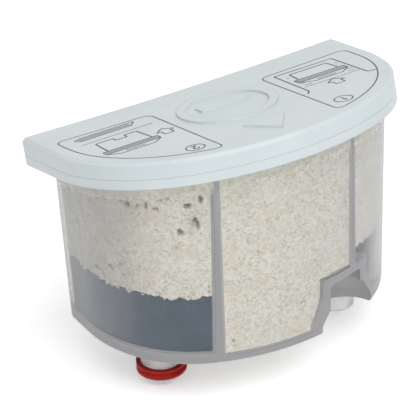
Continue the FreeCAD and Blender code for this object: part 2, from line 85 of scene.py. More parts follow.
# Side, corner, broad front, corner, side: the right half is an arc about (0, frontRadius - front)
# that meets an arc about (halfWidth - cornerRadius, cornerY), and the left half mirrors it
def noseOutline(halfWidth, front, frontRadius, cornerRadius, step):
    centreY = frontRadius - front
    cornerX = halfWidth - cornerRadius
    cornerY = centreY - math.sqrt((frontRadius - cornerRadius) ** 2 - cornerX ** 2)
    turn = math.atan2(cornerY - centreY, cornerX)
    broad = np.linspace(-math.pi / 2, turn, int(frontRadius * (turn + math.pi / 2) / step) + 2)
    small = np.linspace(turn, 0, int(-cornerRadius * turn / step) + 2)[1:]
    x = np.concatenate([frontRadius * np.cos(broad), cornerX + cornerRadius * np.cos(small)])
    y = np.concatenate([centreY + frontRadius * np.sin(broad), cornerY + cornerRadius * np.sin(small)])
    return np.column_stack([np.concatenate([-x[:0:-1], x]), np.concatenate([y[:0:-1], y])])


# Closed D outline, anticlockwise from the left side, drawn in by inset
def tankOutline(inset, step=0.25):
    form = tankForm
    half, back, small = form["halfWidth"] - inset, form["halfDepth"] - inset, form["backRadius"] - inset
    nose = noseOutline(half, back, form["frontRadius"] - inset, form["cornerRadius"] - inset, step)
    turn = np.linspace(0, math.pi / 2, form["cornerSteps"])
    right = np.column_stack([half - small + small * np.cos(turn), back - small + small * np.sin(turn)])
    left = right[::-1] * [-1, 1]
    return np.concatenate([nose, right, left])


# Closed outline of the lid in its own plane; the back edge bows inwards as a shallow parabola
def lidOutline(inset, step=0.25):
    form = lidForm
    half = form["halfWidth"] - inset
    nose = noseOutline(half, form["front"] - inset, form["frontRadius"] - inset,
                       form["cornerRadius"] - inset, step)
    x = np.linspace(half, -half, form["backSteps"])
    y = form["back"] - inset - form["backBow"] * (1 - (x / half) ** 2)
    return np.concatenate([nose, np.column_stack([x, y])])


# Points at equal steps along a path, found from its running length
def evenly(path, count, closed=True):
    if closed:
        path = np.concatenate([path, path[:1]])
    run = np.concatenate([[0], np.cumsum(np.hypot(*np.diff(path, axis=0).T))])
    at = np.linspace(0, run[-1], count + 1)[:-1] if closed else np.linspace(0, run[-1], count)
    return np.column_stack([np.interp(at, run, path[:, axis]) for axis in (0, 1)])


# The lid's plane turned about X by its pitch and raised to the seat
def onLid(x, y, height):
    cosine, sine = math.cos(tankForm["pitch"]), math.sin(tankForm["pitch"])
    height = np.broadcast_to(height, np.shape(x))
    return np.column_stack([x, y * cosine + height * sine,
                            tankForm["seatHeight"] - y * sine + height * cosine])


# Height of the plane that lies drop below the seat
def seatAt(y, drop):
    pitch = tankForm["pitch"]
    return tankForm["seatHeight"] - drop / math.cos(pitch) - y * math.tan(pitch)


# Quads of a grid whose points run along the columns first
def gridFaces(rows, columns, closed=True):
    row = np.arange(rows - 1)[:, None] * columns
    column = np.arange(columns if closed else columns - 1)[None, :]
    following = (column + 1) % columns
    return np.stack([row + column, row + following, row + columns + following, row + columns + column],
                    -1).reshape(-1, 4)


# A mesh straight from arrays of points in millimetres and faces
def newPiece(name, points, quads, triangles=None, smooth=True):
    mesh = bpy.data.meshes.new(name)
    triangles = np.zeros((0, 3), int) if triangles is None else triangles
    mesh.vertices.add(len(points))
    mesh.vertices.foreach_set("co", (points * mm).astype(np.float32).ravel())
    corners = np.concatenate([quads.ravel(), triangles.ravel()]).astype(np.int32)
    sizes = np.concatenate([np.full(len(quads), 4), np.full(len(triangles), 3)]).astype(np.int32)
    mesh.loops.add(len(corners))
    mesh.loops.foreach_set("vertex_index", corners)
    mesh.polygons.add(len(sizes))
    mesh.polygons.foreach_set("loop_start", (np.cumsum(sizes) - sizes).astype(np.int32))
    mesh.polygons.foreach_set("loop_total", sizes)
    mesh.polygons.foreach_set("use_smooth", np.full(len(sizes), smooth))
    mesh.update(calc_edges=True)
    mesh.validate()
    piece = bpy.data.objects.new(name, mesh)
    bpy.context.scene.collection.objects.link(piece)
    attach(piece, "root")
    return piece


# Noise worked out on whole arrays: a lattice of random numbers, hashed from its cell's number

hashForm = {
    "along": (12.9898, 78.233, 37.719),    # weights of a cell's three numbers
    "seedStep": 4.1414,
    "spread": 43758.5453,        # large, so that the fraction jumps from cell to cell
}


# A number from 0 to 1 for each whole-numbered cell, from the fraction of a large sine
def cellRandom(cell, seed):
    value = cell @ np.array(hashForm["along"]) + seed * hashForm["seedStep"]
    return np.modf(np.abs(np.sin(value) * hashForm["spread"]))[0]


# Value noise from -1 to 1: eight corners of a cell blended by smooth steps
def softNoise(points, size, seed):
    scaled = points / size
    cell = np.floor(scaled)
    part = scaled - cell
    part = part * part * (3 - 2 * part)
    total = 0
    for corner in np.ndindex(2, 2, 2):
        weight = np.prod(np.where(corner, part, 1 - part), axis=1)
        total = total + weight * cellRandom(cell + corner, seed)
    return 2 * total - 1


# Sum of soft noises, each (size, weight) with a seed of its own
def layeredNoise(points, layers, seed):
    total = 0
    for number, (size, weight) in enumerate(layers):
        total = total + weight * softNoise(points, size, seed + number)
    return total


# Nearest and second distance, in cell sizes, to one jittered point in each cell
def beadNoise(points, size, seed):
    scaled = points / size
    cell = np.floor(scaled)
    near = np.full(len(points), np.inf)
    second = near.copy()
    for step in np.ndindex(3, 3, 3):
        here = cell + np.array(step) - 1
        spot = here + np.column_stack([cellRandom(here, seed + axis) for axis in range(3)])
        away = np.linalg.norm(scaled - spot, axis=1)
        second = np.minimum(second, np.maximum(near, away))
        near = np.minimum(near, away)
    return near, second


# Materials

# A new material with its tree, its shader and its output
def newMaterial(name):
    material = bpy.data.materials.new(name)
    material.use_nodes = True
    tree = material.node_tree
    return material, tree, tree.nodes["Principled BSDF"], tree.nodes["Material Output"]


# A node with its settings; an input that is a socket is linked, any other is a value
def addNode(tree, kind, inputs=None, **settings):
    node = tree.nodes.new(kind)
    for key, value in settings.items():
        setattr(node, key, value)
    for key, value in (inputs or {}).items():
        if isinstance(value, bpy.types.NodeSocket):
            tree.links.new(value, node.inputs[key])
        else:
            node.inputs[key].default_value = value
    return node


# A colour as it shows on the screen, 0 to 255, made linear for the shader
def colour(red, green, blue):
    steps = np.array([red, green, blue]) / 255
    linear = np.where(steps <= 0.04045, steps / 12.92, ((steps + 0.055) / 1.055) ** 2.4)
    return (*linear, 1.0)


# A noise's value at each place on the object
def noiseAt(tree, place, scale, detail, **more):
    inputs = {"Vector": place, "Scale": scale, "Detail": detail, **more}
    return addNode(tree, "ShaderNodeTexNoise", inputs).outputs["Fac"]


# Colour or number that goes from first to second while factor crosses the span
def ramp(tree, factor, span, first, second):
    node = addNode(tree, "ShaderNodeValToRGB", {"Fac": factor})
    for element, place, value in zip(node.color_ramp.elements, span, (first, second)):
        element.position = place
        element.color = value if isinstance(value, tuple) else (value, value, value, 1)
    return node.outputs["Color"]


# A value carried in a straight line from one span to another, and held at its ends
def carried(tree, value, source, target):
    return addNode(tree, "ShaderNodeMapRange", {
        "Value": value, "From Min": source[0], "From Max": source[1],
        "To Min": target[0], "To Max": target[1]}).outputs[0]


# One step of arithmetic on sockets or numbers
def calc(tree, operation, first, second=0.0):
    return addNode(tree, "ShaderNodeMath", {0: first, 1: second}, operation=operation).outputs[0]


# A blend of two colours, each a socket or a value
def mixColour(tree, factor, first, second):
    node = addNode(tree, "ShaderNodeMix", {"Factor": factor}, data_type="RGBA")
    for key, value in (("A", first), ("B", second)):
        if isinstance(value, bpy.types.NodeSocket):
            tree.links.new(value, node.inputs[key])
        else:
            node.inputs[key].default_value = value
    return node.outputs["Result"]


# Relief for the shader's normal, its distance in millimetres
def addBump(tree, shader, height, strength, distance, **more):
    inputs = {"Height": height, "Strength": strength, "Distance": distance * mm, **more}
    tree.links.new(addNode(tree, "ShaderNodeBump", inputs).outputs[0], shader.inputs["Normal"])


wallLook = {
    "tint": colour(253, 253, 253),
    "milky": colour(160, 160, 163),      # where the plastic is thick, and at the tank's two ends
    "tipPaintedLight": colour(252, 252, 252),      # the spigots' tips: partly their whitish plastic, partly painted light that lifts them out of the floor's shadow
    "rimLight": colour(220, 217, 205),   # beads against the plug behind the mouth
    "rimDark": colour(188, 184, 170),
    "index": 1.3,
    "gloss": 0.35,
    "roughness": (0.09, 0.19),   # lowest and highest, by the flow of the melt
    "flowScale": 90,
    "cloudyGloss": 0.3,
    "cloudyRoughness": 0.35,
    "thickShare": 0.86,          # how much of a thick place is milky
    "edgePower": 2.0,
    "edgeShare": 0.78,           # and of the wall where it is seen along its length
    "sideShare": 0.24,           # and of the tank's two ends
    "sideStart": 38.0,           # from this far off the middle
    "sideFull": 49.0,
    "sideFlow": (0.3, 0.7),      # where the flow lies in this span, the ends' share varies
    "sideUneven": (0.8, 1.15),   # by these factors
    "tipLightShare": 0.4,
    "spigotLeast": 0.05,         # from this share on, the milky part takes the tips' painted white
    "spigotTop": -0.2,           # just under the tank's underside
    "spigotBlur": 0.2,
    "housingBack": -9.5,         # the notch's housing ends here in Y
    "housingBlur": 0.1,
    "footBlur": 0.5,
    "crumbScale": 620,
    "crumbRoughness": 0.7,
    "rimSpan": (0.35, 0.6),
    "rimWander": 4.0,
    "rimShare": 0.75,
    "rimEndsMilky": 0.4,              # how far the rim's beads turn milky at the tank's ends
    "mist": colour(238, 238, 240),
    "mistDensity": 38.0,         # per metre of plastic
    "rimDepth": 4.6,             # band under the lid, where the plug stands behind the wall
    "rimBlur": 1.0,
    "middleFoot": 3.0,           # the floor's band as it shows through the wall
    "sideFoot": 4.4,
    "slabShift": -0.55,          # a partition shows off its place, because the wall stands before it
    "slabSpread": 0.5,           # and looks this much wider to each side
    "housingSpread": 0.6,
    "blur": 0.3,                 # width over which a milky place starts
}


# Smooth step from low to high as value goes from start to end, both in millimetres
def rising(tree, value, start, end, low=0.0, high=1.0):
    return addNode(tree, "ShaderNodeMapRange", {
        "Value": value, "From Min": start * mm, "From Max": end * mm, "To Min": low, "To Max": high},
        interpolation_type="SMOOTHSTEP").outputs[0]


# 1 where the moulding is thick behind its surface: at the partitions' edges, the floor's edge
# and the notch's housing, all from the place on the object
def thickPlaces(tree, axes):
    form, look = tankForm, wallLook
    blur, spread = look["blur"], look["slabSpread"]
    acrossX, acrossY, height = axes["X"], axes["Y"], axes["Z"]
    offMiddle = calc(tree, "ABSOLUTE", acrossX)
    shifted = calc(tree, "ABSOLUTE", calc(tree, "SUBTRACT", acrossX, look["slabShift"] * mm))
    fromPartition = calc(tree, "ABSOLUTE", calc(tree, "SUBTRACT", shifted, form["partitionX"] * mm))
    footHalf, topHalf = form["partitionFoot"] / 2 + spread, form["partitionTop"] / 2 + spread
    halfSlab = carried(tree, height, (0, form["seatHeight"] * mm), (footHalf * mm, topHalf * mm))
    slab = rising(tree, calc(tree, "SUBTRACT", fromPartition, halfSlab), -blur, 0, 1, 0)
    aboveFoot = rising(tree, height, -2 * blur, -blur)
    footStart, footEnd = form["partitionX"] - look["footBlur"], form["partitionX"] + look["footBlur"]
    footTop = rising(tree, offMiddle, footStart, footEnd, look["middleFoot"] * mm, look["sideFoot"] * mm)
    underTop = rising(tree, calc(tree, "SUBTRACT", height, footTop), -blur, 0, 1, 0)
    foot = calc(tree, "MULTIPLY", underTop, aboveFoot)
    spread = look["housingSpread"]
    halfHousing = carried(tree, height, (form["flareStraight"] * mm, form["flareTop"] * mm),
                          ((form["flareRadius"] + spread) * mm, (form["keyRadius"] + spread) * mm))
    fromKey = calc(tree, "ABSOLUTE", calc(tree, "SUBTRACT", acrossX, form["keyCentre"][0] * mm))
    housing = rising(tree, calc(tree, "SUBTRACT", fromKey, halfHousing), -blur, 0, 1, 0)
    top, back = form["keyTop"] + spread, look["housingBack"]
    for limit in (rising(tree, height, top - blur, top, 1, 0), aboveFoot,
                  rising(tree, acrossY, back - look["housingBlur"], back, 1, 0)):
        housing = calc(tree, "MULTIPLY", housing, limit)
    return calc(tree, "MAXIMUM", calc(tree, "MAXIMUM", slab, foot), housing)


# 1 in the band under the seat's plane, from how far the place lies along the plane's normal;
# its lower edge wanders with the crumbs
def underLid(tree, place, crumb):
    look = wallLook
    normal = (0, math.sin(tankForm["pitch"]), math.cos(tankForm["pitch"]))
    height = addNode(tree, "ShaderNodeVectorMath", {0: place, 1: normal},
                     operation="DOT_PRODUCT").outputs["Value"]
    wander = calc(tree, "MULTIPLY", calc(tree, "SUBTRACT", crumb, 0.5), look["rimWander"] * mm)
    low = tankForm["seatHeight"] * normal[2] - look["rimDepth"]
    return rising(tree, calc(tree, "ADD", height, wander), low - look["rimBlur"], low + look["rimBlur"])


# Moulded polypropylene: clear where it is thin, milky where it is thick or seen along its length.
# Light goes straight through to what is inside, so that the fills are lit as they are outside
def clearPlastic():
    look = wallLook
    material, tree, shader, output = newMaterial("clearPlastic")
    place = addNode(tree, "ShaderNodeTexCoord").outputs["Object"]
    axes = addNode(tree, "ShaderNodeSeparateXYZ", {"Vector": place}).outputs
    thick = calc(tree, "MULTIPLY", thickPlaces(tree, axes), look["thickShare"])
    flow = noiseAt(tree, place, look["flowScale"], 4)
    ends = rising(tree, calc(tree, "ABSOLUTE", axes["X"]), look["sideStart"], look["sideFull"],
                  0, look["sideShare"])
    endsMilky = calc(tree, "MULTIPLY", ends, carried(tree, flow, look["sideFlow"], look["sideUneven"]))
    facing = addNode(tree, "ShaderNodeLayerWeight", {"Blend": 0.5}).outputs["Facing"]
    edge = calc(tree, "MULTIPLY", calc(tree, "POWER", facing, look["edgePower"]), look["edgeShare"])
    crumb = noiseAt(tree, place, look["crumbScale"], 5, Roughness=look["crumbRoughness"])
    rim = calc(tree, "MULTIPLY", underLid(tree, place, crumb), look["rimShare"])
    # The spigots' tips: a share of white, partly their whitish plastic and partly painted light that lifts
    # them out of the floor's shadow
    tip = look["spigotTop"]
    tipLight = rising(tree, axes["Z"], tip - look["spigotBlur"], tip, look["tipLightShare"], 0)
    milky = calc(tree, "MAXIMUM", calc(tree, "MAXIMUM", thick, endsMilky), edge)
    share = calc(tree, "MAXIMUM", calc(tree, "MAXIMUM", milky, rim), tipLight)
    beads = ramp(tree, crumb, look["rimSpan"], look["rimDark"], look["rimLight"])
    endsOnRim = calc(tree, "MULTIPLY", ends, look["rimEndsMilky"] / look["sideShare"])
    beads = mixColour(tree, endsOnRim, beads, look["milky"])
    rimRules = calc(tree, "GREATER_THAN", calc(tree, "SUBTRACT", rim, milky), 0)
    tone = mixColour(tree, rimRules, look["milky"], beads)
    onSpigot = calc(tree, "GREATER_THAN", tipLight, look["spigotLeast"])
    tone = mixColour(tree, onSpigot, tone, look["tipPaintedLight"])
    shader.inputs["Base Color"].default_value = look["tint"]
    shader.inputs["Transmission Weight"].default_value = 1.0
    shader.inputs["IOR"].default_value = look["index"]
    shader.inputs["Specular IOR Level"].default_value = look["gloss"]
    tree.links.new(carried(tree, flow, (0, 1), look["roughness"]), shader.inputs["Roughness"])
    cloudy = addNode(tree, "ShaderNodeBsdfPrincipled", {"Base Color": tone})
    cloudy.inputs["Roughness"].default_value = look["cloudyRoughness"]
    cloudy.inputs["Specular IOR Level"].default_value = look["cloudyGloss"]
    both = addNode(tree, "ShaderNodeMixShader", {0: share, 1: shader.outputs[0], 2: cloudy.outputs[0]})
    ray = addNode(tree, "ShaderNodeLightPath").outputs
    passing = calc(tree, "MAXIMUM", ray["Is Shadow Ray"], ray["Is Diffuse Ray"])
    clear = addNode(tree, "ShaderNodeBsdfTransparent")
    mixed = addNode(tree, "ShaderNodeMixShader", {0: passing, 1: both.outputs[0], 2: clear.outputs[0]})
    tree.links.new(mixed.outputs[0], output.inputs["Surface"])
    mist = addNode(tree, "ShaderNodeVolumeScatter", {"Color": look["mist"], "Density": look["mistDensity"]})
    tree.links.new(mist.outputs[0], output.inputs["Volume"])
    return material


lidLook = {
    "tint": colour(208, 217, 219),
    "shade": colour(202, 212, 214),
    "mottleScale": 60,
    "mottleSpan": (0.3, 0.7),
    "grainScale": 2600,
    "grainHeight": 0.05,
    "grainStrength": 0.06,
    "roughness": (0.31, 0.42),   # lowest and highest, by the grain
    "edgeRound": 0.5,
    "edgeSamples": 6,
}


# Satin moulded plastic with a very fine spark-eroded grain and softened edges
def lidPlastic():
    look = lidLook
    material, tree, shader, output = newMaterial("lidPlastic")
    place = addNode(tree, "ShaderNodeTexCoord").outputs["Object"]
    mottle = noiseAt(tree, place, look["mottleScale"], 4)
    tone = ramp(tree, mottle, look["mottleSpan"], look["shade"], look["tint"])
    tree.links.new(tone, shader.inputs["Base Color"])
    grain = noiseAt(tree, place, look["grainScale"], 2)
    tree.links.new(carried(tree, grain, (0, 1), look["roughness"]), shader.inputs["Roughness"])
    soft = addNode(tree, "ShaderNodeBevel", {"Radius": look["edgeRound"] * mm}, samples=look["edgeSamples"])
    addBump(tree, shader, grain, look["grainStrength"], look["grainHeight"], Normal=soft.outputs[0])
    return material


granuleLook = {
    "light": colour(251, 247, 236),
    "mid": colour(209, 203, 186),
    "warm": colour(232, 221, 199),
    "pale": colour(240, 238, 230),
    # painted shade in the small pores where a bead is missing
    "pore": colour(200, 194, 176),
    # painted shade for the pits, the seams between beads, the lumps and the left end
    "cavity": colour(150, 147, 137),
    "crumbScale": 620,           # crumbs to the metre
    "crumbRoughness": 0.7,
    "crumbSpan": (0.4, 0.74),
    "beadScale": 1700,
    "beadShare": 0.35,           # how far a bead's own tone joins its crumb's
    "beadRelief": 0.6,
    "clumpScale": 130,
    "warmSpan": (0.52, 0.72),
    "warmShare": 0.5,
    "paleSpan": (0.28, 0.46),
    "paleShare": 0.6,
    "poreScale": 1050,
    "poreSpan": (0.15, 0.55),
    "clusterScale": 240,
    "missingSpan": (0.42, 0.56),
    "roughness": 0.8,
    "glow": 0.15,                # light that enters and comes out again
    "glowDepth": 0.5,
    "glowReach": (1.0, 0.8, 0.5),
    "relief": 0.7,
    "reliefStrength": 0.8,
}


# Packed cream crumbs: a tone for each crumb and bead, warm and pale clumps, painted shade in small pores
# where a bead is missing, and painted shade where the surface itself dips and over the left end
def granuleMatter():
    look = granuleLook
    material, tree, shader, output = newMaterial("granuleMatter")
    place = addNode(tree, "ShaderNodeTexCoord").outputs["Object"]
    bead = addNode(tree, "ShaderNodeTexVoronoi", {"Vector": place, "Scale": look["beadScale"]})
    beadTone = addNode(tree, "ShaderNodeSeparateColor", {"Color": bead.outputs["Color"]}).outputs["Red"]
    crumb = noiseAt(tree, place, look["crumbScale"], 5, Roughness=look["crumbRoughness"])
    both = calc(tree, "ADD", calc(tree, "MULTIPLY", beadTone, look["beadShare"]), crumb)
    base = ramp(tree, both, look["crumbSpan"], look["mid"], look["light"])
    clump = noiseAt(tree, place, look["clumpScale"], 5)
    base = mixColour(tree, ramp(tree, clump, look["warmSpan"], 0.0, look["warmShare"]), base, look["warm"])
    base = mixColour(tree, ramp(tree, clump, look["paleSpan"], look["paleShare"], 0.0), base, look["pale"])
    # Pores where a bead is missing: painted shade, the pore tone at the middles of scattered cells in
    # clusters
    hole = addNode(tree, "ShaderNodeTexVoronoi", {"Vector": place, "Scale": look["poreScale"]})
    chance = addNode(tree, "ShaderNodeSeparateColor", {"Color": hole.outputs["Color"]}).outputs["Green"]
    likely = calc(tree, "MULTIPLY", chance, noiseAt(tree, place, look["clusterScale"], 2))
    missing = ramp(tree, likely, look["missingSpan"], 0.0, 1.0)
    spot = ramp(tree, hole.outputs["Distance"], look["poreSpan"], 1.0, 0.0)
    base = mixColour(tree, calc(tree, "MULTIPLY", missing, spot), base, look["pore"])
    # Painted shade kept on the mesh: pits, seams between beads, lumps and the left end take the shade tone
    paintedShade = addNode(tree, "ShaderNodeAttribute", attribute_name="paintedShade").outputs["Fac"]
    tree.links.new(mixColour(tree, paintedShade, base, look["cavity"]), shader.inputs["Base Color"])
    shader.inputs["Roughness"].default_value = look["roughness"]
    shader.inputs["Subsurface Weight"].default_value = look["glow"]
    shader.inputs["Subsurface Radius"].default_value = look["glowReach"]
    shader.inputs["Subsurface Scale"].default_value = look["glowDepth"] * mm
    dome = calc(tree, "MULTIPLY", bead.outputs["Distance"], look["beadRelief"])
    height = calc(tree, "SUBTRACT", crumb, dome)
    addBump(tree, shader, height, look["reliefStrength"], look["relief"])
    return material


foamLook = {
    "light": colour(78, 98, 114),
    # painted shade in the pores' middles, also the low end of a random drift
    "dark": colour(48, 64, 80),
    "poreScale": 1500,
    "driftScale": 220,
    "span": (0.05, 0.45),
    "roughness": 0.95,
    "sheen": 0.15,
    "relief": 0.2,
    "reliefStrength": 0.5,
}


# Open-cell foam: pores from a cell pattern, with painted shade inside each pore
def filterFoam():
    look = foamLook
    material, tree, shader, output = newMaterial("filterFoam")
    place = addNode(tree, "ShaderNodeTexCoord").outputs["Object"]
    pore = addNode(tree, "ShaderNodeTexVoronoi", {"Vector": place, "Scale": look["poreScale"]})
    # Painted shade: the tone darkens towards each pore's middle, varied by a random drift
    blend = calc(tree, "MULTIPLY", pore.outputs["Distance"], noiseAt(tree, place, look["driftScale"], 4))
    tone = ramp(tree, blend, look["span"], look["dark"], look["light"])
    tree.links.new(tone, shader.inputs["Base Color"])
    shader.inputs["Roughness"].default_value = look["roughness"]
    shader.inputs["Sheen Weight"].default_value = look["sheen"]
    addBump(tree, shader, pore.outputs["Distance"], look["reliefStrength"], look["relief"])
    return material


sealLook = {
    "deep": colour(150, 15, 2),
    "bloom": colour(180, 27, 4),
    "bloomScale": 420,
    "bloomSpan": (0.3, 0.75),
    "roughness": 0.45,
    "gloss": 0.25,
    "glow": 0.1,
    "glowDepth": 1.0,
    "glowReach": (1.0, 0.3, 0.15),
}


# Red silicone with a faint bloom
def sealRubber():
    look = sealLook
    material, tree, shader, output = newMaterial("sealRubber")
    place = addNode(tree, "ShaderNodeTexCoord").outputs["Object"]
    bloom = noiseAt(tree, place, look["bloomScale"], 4)
    tone = ramp(tree, bloom, look["bloomSpan"], look["deep"], look["bloom"])
    tree.links.new(tone, shader.inputs["Base Color"])
    shader.inputs["Roughness"].default_value = look["roughness"]
    shader.inputs["Specular IOR Level"].default_value = look["gloss"]
    shader.inputs["Subsurface Weight"].default_value = look["glow"]
    shader.inputs["Subsurface Radius"].default_value = look["glowReach"]
    shader.inputs["Subsurface Scale"].default_value = look["glowDepth"] * mm
    return material


inkLook = {
    "dark": (colour(48, 54, 64), colour(78, 84, 94)),
    "pale": (colour(142, 148, 156), colour(164, 170, 176)),
    "wearScale": 900,
    "wearSpan": (0.35, 0.75),
    "roughness": 0.5,
}


# Ink with the plastic's grain showing through
def printInk(name, dark, light):
    material, tree, shader, output = newMaterial(name)
    place = addNode(tree, "ShaderNodeTexCoord").outputs["Object"]
    wear = noiseAt(tree, place, inkLook["wearScale"], 3)
    tone = ramp(tree, wear, inkLook["wearSpan"], dark, light)
    tree.links.new(tone, shader.inputs["Base Color"])
    shader.inputs["Roughness"].default_value = inkLook["roughness"]
    return material


wallPlastic = clearPlastic()
lidMatter = lidPlastic()
granules = granuleMatter()
foamMatter = filterFoam()
redRubber = sealRubber()
ink = printInk("printInk", *inkLook["dark"])
paleInk = printInk("paleInk", *inkLook["pale"])


def dressNode(name, material):
    mesh = cadNode[name].data
    mesh.materials.clear()
    mesh.materials.append(material)


dressNode("tank", wallPlastic)
dressNode("lid_base", lidMatter)
dressNode("lid_cover", lidMatter)
dressNode("seal_ring", redRubber)
print("materials made")


# Fills of the three chambers

# The drafted D clipped to lowX..highX: points at equal steps, and how each moves per height
def chamberRing(inset, lowX, highX, step):
    outline = tankOutline(inset)
    x, y = outline.T
    for limit, side in ((lowX, x < lowX), (highX, x > highX)):
        if side.any():
            front = y[(~side) & (y < 0)][np.argmin(np.abs(x[(~side) & (y < 0)] - limit))]
            back = tankForm["halfDepth"] - inset
            y = np.where(side, np.clip(y, front, back), y)
    clipped = np.column_stack([np.clip(x, lowX, highX), y])
    length = np.hypot(*np.diff(np.concatenate([clipped, clipped[:1]]), axis=0).T).sum()
    ring = evenly(clipped, int(length / step))
    tangent = np.roll(ring, -1, axis=0) - np.roll(ring, 1, axis=0)
    normal = np.column_stack([tangent[:, 1], -tangent[:, 0]])
    normal /= np.linalg.norm(normal, axis=1)[:, None] + tiny
    return ring, normal


# Moves points out of the notch's housing: pushed back along +Y and past its top
def awayFromKey(points, room):
    form = tankForm
    grown = points.copy()
    z = points[:, 2]
    cone = np.clip((z - form["flareStraight"]) / (form["flareTop"] - form["flareStraight"]), 0, 1)
    radius = form["flareRadius"] + (form["keyRadius"] - form["flareRadius"]) * cone + room
    centreX = form["flareCentre"][0] + (form["keyCentre"][0] - form["flareCentre"][0]) * cone
    across = points[:, 0] - centreX
    reach = form["keyCentre"][1] + np.sqrt(np.maximum(radius ** 2 - across ** 2, 0))
    inside = (np.abs(across) < radius) & (z < form["keyTop"] + room)
    grown[:, 1] = np.where(inside, np.maximum(points[:, 1], reach), points[:, 1])
    return grown


# Grid rows of a cap, from the rim inwards, and the fan that closes it round its middle point
def capFaces(rimIndex, start, capRows, count):
    index = np.concatenate([rimIndex[None], start + np.arange(capRows * count).reshape(capRows, count)])
    following = np.roll(np.arange(count), -1)
    middle = np.full(count, start + capRows * count)
    fan = np.column_stack([index[-1], index[-1][following], middle])
    return index.ravel()[gridFaces(capRows + 1, count)], fan


# A ring carried up from foot to top: the side is ring + lean x height, where the lean is the wall's draft
# or the partition's taper, and each end is the ring drawn in step by step to its middle
def closedFill(settings):
    step = settings["step"]
    ring, normal = chamberRing(settings["inset"], settings["lowX"], settings["highX"], step)
    count = len(ring)
    nearness = 1e-6
    flat = np.abs(ring[:, 0] - settings["lowX"]) < nearness
    flat = flat | (np.abs(ring[:, 0] - settings["highX"]) < nearness)
    lean = normal * tankForm["draft"]
    slabLean = (tankForm["partitionFoot"] - tankForm["partitionTop"]) / 2 / tankForm["seatHeight"]
    lean[flat, 0] = np.sign(normal[flat, 0]) * slabLean
    foot = np.full(count, settings["foot"])
    if settings.get("ragged"):
        along = np.column_stack([ring, np.zeros(count)])
        noise = layeredNoise(along, reliefForm["ragged"], reliefForm["raggedSeed"])
        foot = foot + settings["ragged"] * noise
    top = settings["top"](ring[:, 1] + lean[:, 1] * tankForm["seatHeight"])
    rows = int((top.max() - foot.min()) / step) + 2
    share = np.linspace(0, 1, rows)[:, None]
    height = foot + (top - foot) * share
    side = np.stack([ring[:, 0] + lean[:, 0] * height, ring[:, 1] + lean[:, 1] * height, height], -1)
    inward = np.linspace(1, 0, settings["capRows"] + 1)[1:-1]
    parts = [side.reshape(-1, 3)]
    for end, level in ((side[0], levelTop(settings["foot"])), (side[-1], settings["top"])):
        middle = end.mean(axis=0)
        rings = middle + (end - middle)[None] * inward[:, None, None]
        rings[..., 2] = level(rings[..., 1])
        parts += [rings.reshape(-1, 3), middle[None]]
    points = np.concatenate(parts)
    lowStart = rows * count
    highStart = lowStart + len(inward) * count + 1
    points[-1, 2] = settings["top"](points[-1, 1])
    rim = np.arange(count)
    lowFaces, lowFan = capFaces(rim, lowStart, len(inward), count)
    highFaces, highFan = capFaces((rows - 1) * count + rim, highStart, len(inward), count)
    outward = np.zeros_like(points)
    outward[:lowStart, :2] = np.tile(normal, (rows, 1))
    outward[lowStart:highStart, 2] = -1
    outward[highStart:, 2] = 1
    quads = np.concatenate([gridFaces(rows, count), lowFaces[:, ::-1], highFaces])
    return points, outward, quads, np.concatenate([lowFan[:, [1, 0, 2]], highFan])


# Height of a fill's end as a function of y: along the lid's plane, or level
def topUnderLid(drop):
    return lambda y: seatAt(y, drop)


def levelTop(height):
    return lambda y: np.full(np.shape(y), height)


# Painted shade at each point, from 0 to 1, kept on the mesh for its material
def addPaintedShade(piece, paintedShade):
    attribute = piece.data.attributes.new("paintedShade", "FLOAT", "POINT")
    attribute.data.foreach_set("value", np.clip(paintedShade, 0, 1).astype(np.float32))


reliefForm = {
    "ragged": ((2.6, 0.25), (0.75, 0.9)),         # each noise is size, weight
    "raggedSeed": 5,
    "clumps": ((6.5, 0.6), (2.6, 0.4)),
    "pits": ((1.6, 1.0), (3.6, 0.6), (0.8, 0.5)),
    "pitSlope": 2.2,
    "pitDepth": 1.3,
    "lumps": ((1.9, 0.6), (3.4, 0.4)),
    # painted shade in the lumps
    "lumpShade": 0.25,
    "seamSlope": 3.0,
    # painted shade in the seams between beads
    "seamShade": 0.16,
    "slabRoom": 1.6,             # the relief dies out this close to a partition, where beads lie flat
    "leftShadeFrom": 37.0,         # painted shadow over the beads at the left end, from this far off the middle
    "leftShadeOver": 8.0,
    "keyRoom": 0.3,
}
slabGap = 0.06
innerX = tankForm["partitionX"] - tankForm["partitionFoot"] / 2 - slabGap
outerX = tankForm["partitionX"] + tankForm["partitionFoot"] / 2 + slabGap
farX = 70.0                      # past the tank's side, so that only the wall bounds the chamber
fillDrop = 4.2                   # the fills' tops under the seat
looseForm = {
    "base": 0.05,
    "high": 0.45,                # more hollows under the lid
    "highOver": 5.5,
    "beside": 0.55,              # and beside the partition, a little lower
    "besideAt": (-29.0, 11.0),
    "besideOver": (4.0, 7.0),
    "packed": -0.25,             # a chance for fills with hardly any hollows
}


# Chance of a hollow at each point: bell curves round the top and round a place beside the partition
def looseTop(points):
    form = looseForm
    below = seatAt(points[:, 1], fillDrop) - points[:, 2]
    atX, atBelow = form["besideAt"]
    overX, overBelow = form["besideOver"]
    high = np.exp(-(below / form["highOver"]) ** 2)
    beside = np.exp(-((points[:, 0] - atX) / overX) ** 2) * np.exp(-((below - atBelow) / overBelow) ** 2)
    return form["base"] + form["high"] * high + form["beside"] * beside


# Hardly any hollows
def packed(points):
    return np.full(len(points), looseForm["packed"])


